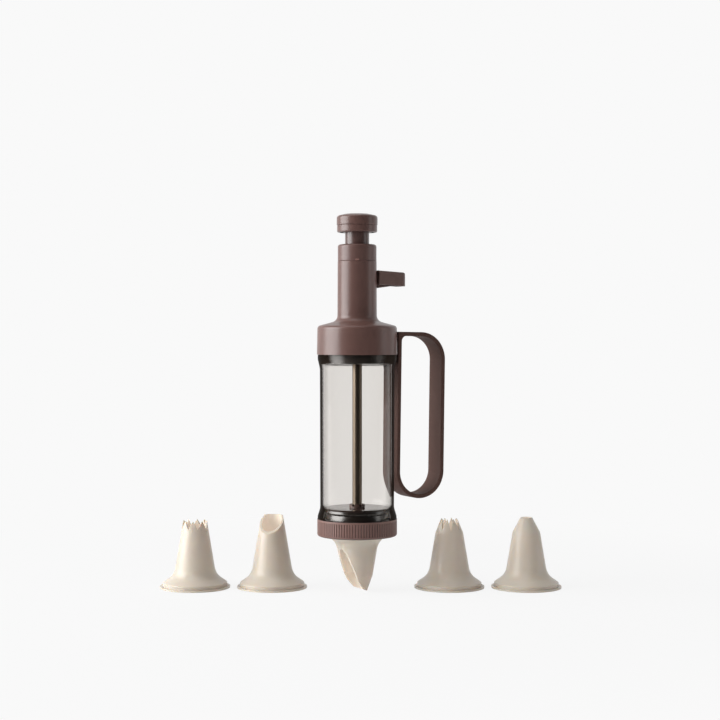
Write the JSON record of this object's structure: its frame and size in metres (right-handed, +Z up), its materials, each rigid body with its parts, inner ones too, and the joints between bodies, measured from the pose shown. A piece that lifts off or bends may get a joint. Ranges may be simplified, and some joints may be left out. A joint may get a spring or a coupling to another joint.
{
  "type": "pastry syringe",
  "caption": "Pastry press with pump knob, twist collar, release tab, loop handle, clear barrel, rod and piston, ribbed locking ring and fitted nozzle, with a row of loose nozzles beside it.",
  "frame": {"origin": "on the barrel's axis, in the plane of the fitted nozzle's tip and of the loose nozzles' rims", "axes": "+Z up the barrel towards the knob, +X along the row of loose nozzles, so that the handle leaves the barrel 28 degrees from +X towards +Y"},
  "size_m": [0.3145, 0.0766, 0.2918],
  "materials": {
    "brown_plastic": "satin, slightly grained",
    "ring_plastic": "matte",
    "dark_plastic": "smooth",
    "clear_plastic": "clear, lightly smoke tinted",
    "beige_plastic": "satin",
    "pale_plastic": "smooth",
    "seal_rubber": "smooth",
    "steel": "drawn"
  },
  "bodies": {
    "housing": {"upper_housing": "brown_plastic", "handle": "brown_plastic", "handle_screws": "steel", "mechanism_cage": "dark_plastic", "cage_screws": "steel", "rod_wiper": "seal_rubber", "return_spring": "steel", "brake_spring": "steel"},
    "collar": {"collar": "brown_plastic", "stem_bush": "pale_plastic"},
    "plunger": {"knob_cap": "brown_plastic", "knob_base": "brown_plastic", "plunger_stem": "brown_plastic", "spring_seat": "steel", "plate_retainer": "steel", "drive_plate_spring": "steel"},
    "drive_plate": {"drive_plate": "steel"},
    "release_tab": {"release_tab": "brown_plastic"},
    "brake_plate": {"brake_plate": "steel"},
    "rod": {"rod": "steel", "piston_hub": "dark_plastic", "piston_disc": "dark_plastic", "piston_seal": "seal_rubber", "piston_screw": "steel"},
    "barrel_gasket": {"barrel_gasket": "seal_rubber"},
    "barrel": {"barrel": "clear_plastic"},
    "nozzle": {"fitted_nozzle": "beige_plastic", "nozzle_gasket": "seal_rubber"},
    "locking_ring": {"locking_ring": "ring_plastic"},
    "spare_open_star": {"spare_nozzle_open_star": "beige_plastic"},
    "spare_oblique": {"spare_nozzle_oblique": "beige_plastic"},
    "spare_closed_star": {"spare_nozzle_closed_star": "beige_plastic"},
    "spare_round": {"spare_nozzle_round": "beige_plastic"}
  },
  "joints": [
    {"name": "collar_turn", "type": "hinge", "parent": "housing", "child": "collar", "pos_m": [0, 0, 0.2549], "axis": [0, 0, 1], "range_deg": [0, 45]},
    {"name": "knob_press", "type": "slide", "parent": "housing", "child": "plunger", "axis": [0, 0, -1], "range_m": [0, 0.0082], "stiffness_N_per_m": 300, "springref_m": -0.02, "deforming": ["return_spring"]},
    {"name": "drive_plate_tip", "type": "hinge", "parent": "plunger", "child": "drive_plate", "pos_m": [-0.00742, -0.00394, 0.199], "axis": [0.4695, -0.8829, 0], "range_deg": [0, 3.4]},
    {"name": "release_press", "type": "slide", "parent": "housing", "child": "release_tab", "axis": [0, 0, -1], "range_m": [0, 0.0019], "stiffness_N_per_m": 250, "springref_m": -0.004, "deforming": ["brake_spring"]},
    {"name": "brake_plate_level", "type": "hinge", "parent": "housing", "child": "brake_plate", "pos_m": [-0.01678, -0.00892, 0.1824], "axis": [-0.4695, 0.8829, 0], "range_deg": [0, 3.4]},
    {"name": "rod_slide", "type": "slide", "parent": "housing", "child": "rod", "axis": [0, 0, 1], "range_m": [0, 0.079]},
    {"name": "barrel_drop", "type": "slide", "parent": "housing", "child": "barrel_gasket", "axis": [0, 0, -1], "range_m": [0, 0.006]},
    {"name": "barrel_turn", "type": "hinge", "parent": "barrel_gasket", "child": "barrel", "pos_m": [0, 0, 0.1879], "axis": [0, 0, -1], "range_deg": [0, 540]},
    {"name": "nozzle_drop", "type": "slide", "parent": "barrel", "child": "nozzle", "axis": [0, 0, -1], "range_m": [0, 0.006]},
    {"name": "ring_turn", "type": "hinge", "parent": "nozzle", "child": "locking_ring", "pos_m": [0, 0, 0.0484], "axis": [0, 0, -1], "range_deg": [0, 540]},
    {"name": "spare_open_star_lift", "type": "slide", "parent": "housing", "child": "spare_open_star", "axis": [0, 0, 1], "range_m": [0, 0.03]},
    {"name": "spare_oblique_lift", "type": "slide", "parent": "housing", "child": "spare_oblique", "axis": [0, 0, 1], "range_m": [0, 0.03]},
    {"name": "spare_closed_star_lift", "type": "slide", "parent": "housing", "child": "spare_closed_star", "axis": [0, 0, 1], "range_m": [0, 0.03]},
    {"name": "spare_round_lift", "type": "slide", "parent": "housing", "child": "spare_round", "axis": [0, 0, 1], "range_m": [0, 0.03]}
  ],
  "couplings": [
    {"joint": "drive_plate_tip", "follows": "knob_press", "rad_per_m": 7.236},
    {"joint": "brake_plate_level", "follows": "release_press", "rad_per_m": 31.2},
    {"joint": "barrel_drop", "follows": "barrel_turn", "m_per_rad": 0.0006366},
    {"joint": "nozzle_drop", "follows": "ring_turn", "m_per_rad": 0.0006366}
  ]
}
